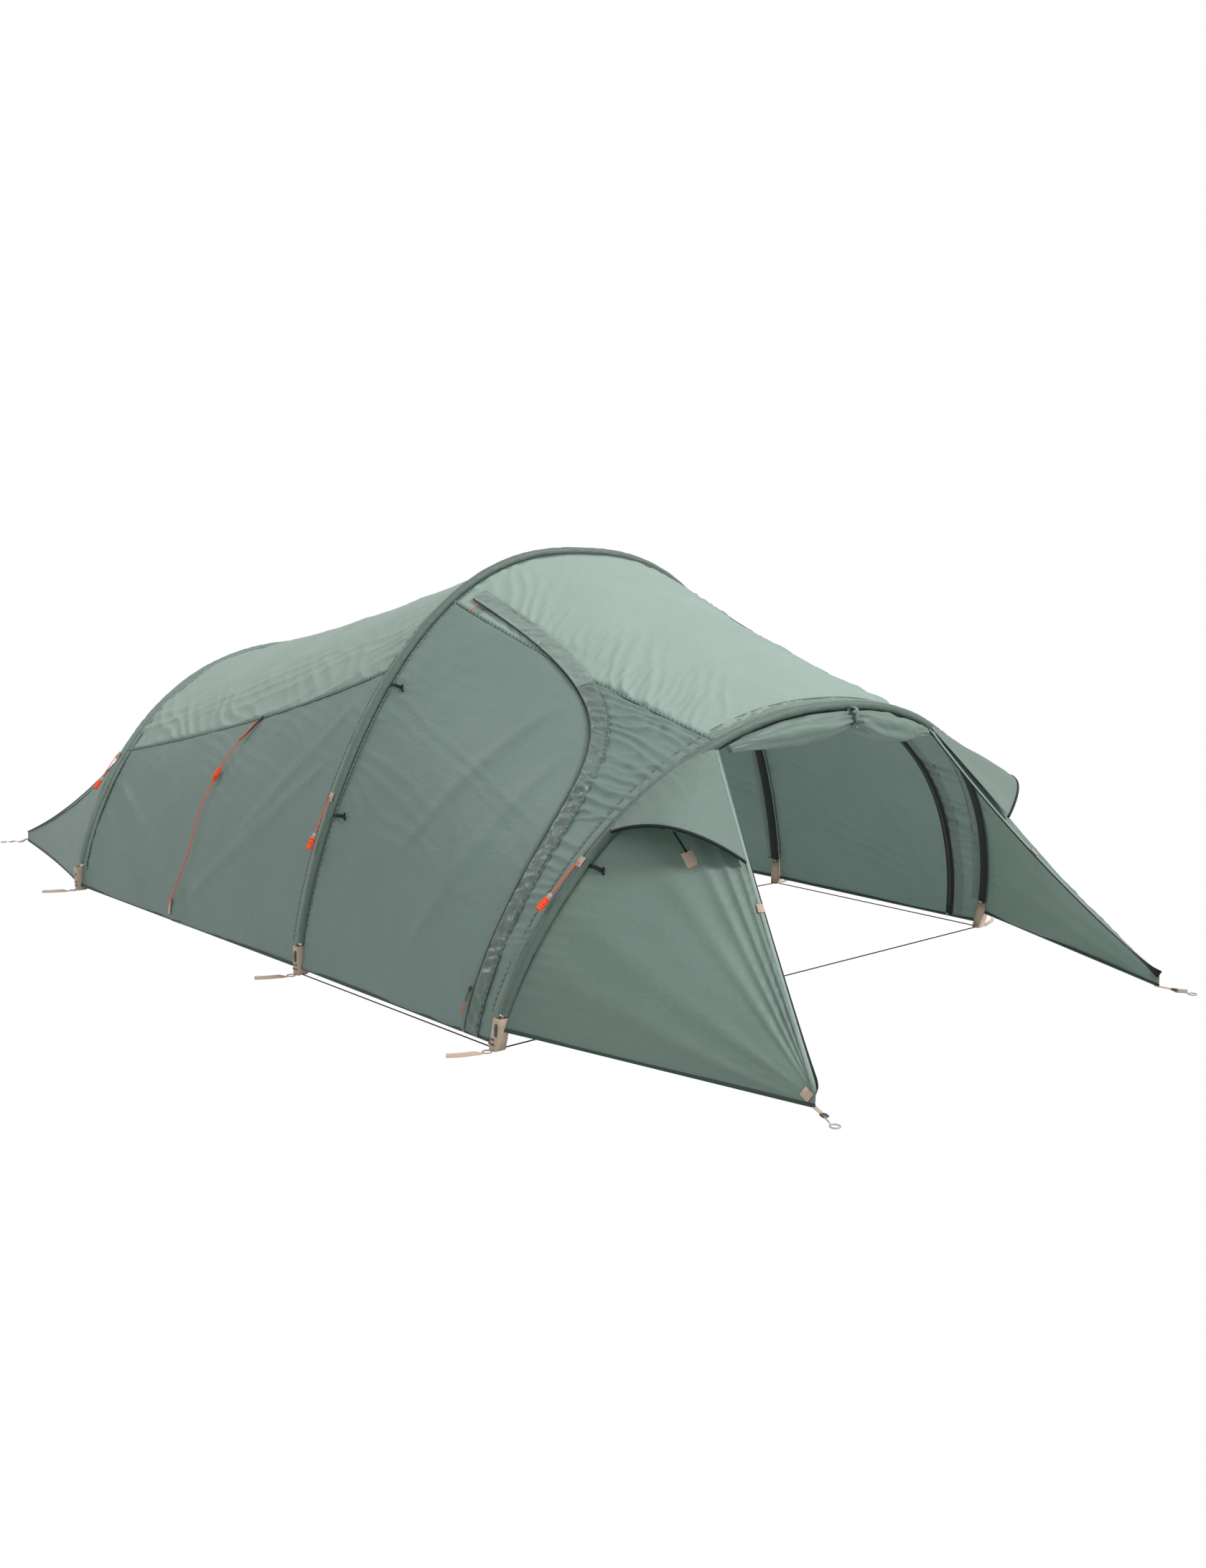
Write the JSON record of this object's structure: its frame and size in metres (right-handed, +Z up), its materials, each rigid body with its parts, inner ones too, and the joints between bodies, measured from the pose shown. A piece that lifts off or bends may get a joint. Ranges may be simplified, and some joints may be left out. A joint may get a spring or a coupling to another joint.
{
  "type": "tunnel tent",
  "caption": "Tunnel tent outer on bent hoops, with zipped side doors, propped vent hoods, a rolled-up front door, guy lines and pegging straps.",
  "frame": {"origin": "on the ground, at the middle of the tent's box", "axes": "+X to the front door, +Y to the tent's left (far side), +Z up"},
  "size_m": [4.3489, 2.297, 1.203],
  "materials": {
    "fabric": "ripstop canopy cloth, satin",
    "dark_fabric": "pole sleeves and storm flaps",
    "mesh": "zips and dark tape",
    "pole": "anodised tube",
    "webbing": "woven webbing",
    "cord": "braided guy cord",
    "ground_cord": "braided ground cord",
    "plastic": "moulded buckles and sliders"
  },
  "bodies": {
    "tent": {"door_tie": "webbing", "far_door_strip": "fabric", "far_middle_cord": "cord", "far_rear_wall": "fabric", "far_side_cord": "ground_cord", "far_storm_flap": "dark_fabric", "far_tail_wall": "fabric", "far_vent_hood": "fabric", "far_wing": "fabric", "front_cross_cord": "ground_cord", "front_feet": "webbing", "front_hoop": "pole", "front_sleeve": "dark_fabric", "main_cross_cord": "ground_cord", "main_feet": "webbing", "main_hoop": "pole", "main_sleeve": "dark_fabric", "middle_hanks": "cord", "near_door_strip": "fabric", "near_middle_cord": "cord", "near_rear_wall": "fabric", "near_side_cord": "ground_cord", "near_storm_flap": "dark_fabric", "near_tail_wall": "fabric", "near_vent_hood": "fabric", "near_wing": "fabric", "rear_cross_cord": "ground_cord", "rear_feet": "webbing", "rear_hoop": "pole", "rear_roof": "fabric", "rear_sleeve": "dark_fabric", "rolled_door": "fabric", "side_zips": "mesh", "tail_roof": "fabric", "tail_straps": "webbing", "vestibule_roof": "fabric", "wing_straps": "webbing"},
    "near_door": {"near_door": "fabric"},
    "near_vent": {"near_vent_prop": "plastic"},
    "near_low_slider": {"near_low_slider": "plastic"},
    "near_high_slider": {"near_high_slider": "plastic"},
    "near_rear_guy": {"near_rear_winder": "cord", "near_rear_guy_cord": "cord"},
    "near_main_guy": {"near_main_winder": "cord", "near_main_guy_cord": "cord"},
    "near_front_guy": {"near_front_winder": "cord", "near_front_guy_cord": "cord"},
    "near_buckle": {"near_buckle": "plastic"},
    "far_door": {"far_door": "fabric"},
    "far_vent": {"far_vent_prop": "plastic"},
    "far_low_slider": {"far_low_slider": "plastic"},
    "far_high_slider": {"far_high_slider": "plastic"},
    "far_rear_guy": {"far_rear_winder": "cord", "far_rear_guy_cord": "cord"},
    "far_main_guy": {"far_main_winder": "cord", "far_main_guy_cord": "cord"},
    "far_front_guy": {"far_front_winder": "cord", "far_front_guy_cord": "cord"},
    "far_buckle": {"far_buckle": "plastic"},
    "tie_toggle": {"tie_toggle": "plastic"}
  },
  "joints": [
    {"name": "near_door_open", "type": "slide", "parent": "tent", "child": "near_door", "axis": [-1, 0, 0], "range_m": [0, 0.62], "deforming": ["near_door"]},
    {"name": "near_vent_close", "type": "hinge", "parent": "tent", "child": "near_vent", "pos_m": [1.59794, -0.63291, 0.47552], "axis": [-0.5907, -0.6387, -0.4931], "range_deg": [0, 62], "deforming": ["near_vent_hood"]},
    {"name": "near_low_slide", "type": "slide", "parent": "tent", "child": "near_low_slider", "axis": [0.1291, 0.3263, 0.9364], "range_m": [0, 0.14]},
    {"name": "near_high_slide", "type": "slide", "parent": "tent", "child": "near_high_slider", "axis": [0.9096, -0.0559, -0.4117], "range_m": [0, 0.34]},
    {"name": "near_rear_guy_swing", "type": "hinge", "parent": "tent", "child": "near_rear_guy", "pos_m": [-1.084, -0.85191, 0.46637], "axis": [-1, 0, 0], "range_deg": [0, 75]},
    {"name": "near_main_guy_swing", "type": "hinge", "parent": "tent", "child": "near_main_guy", "pos_m": [0.45491, -0.89951, 0.49519], "axis": [-1, 0, 0], "range_deg": [0, 75]},
    {"name": "near_front_guy_swing", "type": "hinge", "parent": "tent", "child": "near_front_guy", "pos_m": [1.42422, -0.81423, 0.44748], "axis": [-1, 0, 0], "range_deg": [0, 75]},
    {"name": "near_buckle_tilt", "type": "hinge", "parent": "tent", "child": "near_buckle", "pos_m": [2.11123, -0.73383, 0.008], "axis": [-0.3697, -0.9292, 0], "range_deg": [0, 55]},
    {"name": "far_door_open", "type": "slide", "parent": "tent", "child": "far_door", "axis": [-1, 0, 0], "range_m": [0, 0.62], "deforming": ["far_door"]},
    {"name": "far_vent_close", "type": "hinge", "parent": "tent", "child": "far_vent", "pos_m": [1.59794, 0.63291, 0.47552], "axis": [0.5907, -0.6387, 0.4931], "range_deg": [0, 62], "deforming": ["far_vent_hood"]},
    {"name": "far_low_slide", "type": "slide", "parent": "tent", "child": "far_low_slider", "axis": [0.1291, -0.3263, 0.9364], "range_m": [0, 0.14]},
    {"name": "far_high_slide", "type": "slide", "parent": "tent", "child": "far_high_slider", "axis": [0.9096, 0.0559, -0.4117], "range_m": [0, 0.34]},
    {"name": "far_rear_guy_swing", "type": "hinge", "parent": "tent", "child": "far_rear_guy", "pos_m": [-1.084, 0.85191, 0.46637], "axis": [1, 0, 0], "range_deg": [0, 75]},
    {"name": "far_main_guy_swing", "type": "hinge", "parent": "tent", "child": "far_main_guy", "pos_m": [0.45491, 0.89951, 0.49519], "axis": [1, 0, 0], "range_deg": [0, 75]},
    {"name": "far_front_guy_swing", "type": "hinge", "parent": "tent", "child": "far_front_guy", "pos_m": [1.42422, 0.81423, 0.44748], "axis": [1, 0, 0], "range_deg": [0, 75]},
    {"name": "far_buckle_tilt", "type": "hinge", "parent": "tent", "child": "far_buckle", "pos_m": [2.11123, 0.73383, 0.008], "axis": [0.3697, -0.9292, 0], "range_deg": [0, 55]},
    {"name": "toggle_turn", "type": "hinge", "parent": "tent", "child": "tie_toggle", "pos_m": [1.558, 0.04191, 0.73758], "axis": [1, 0, 0], "range_deg": [0, 90]}
  ]
}
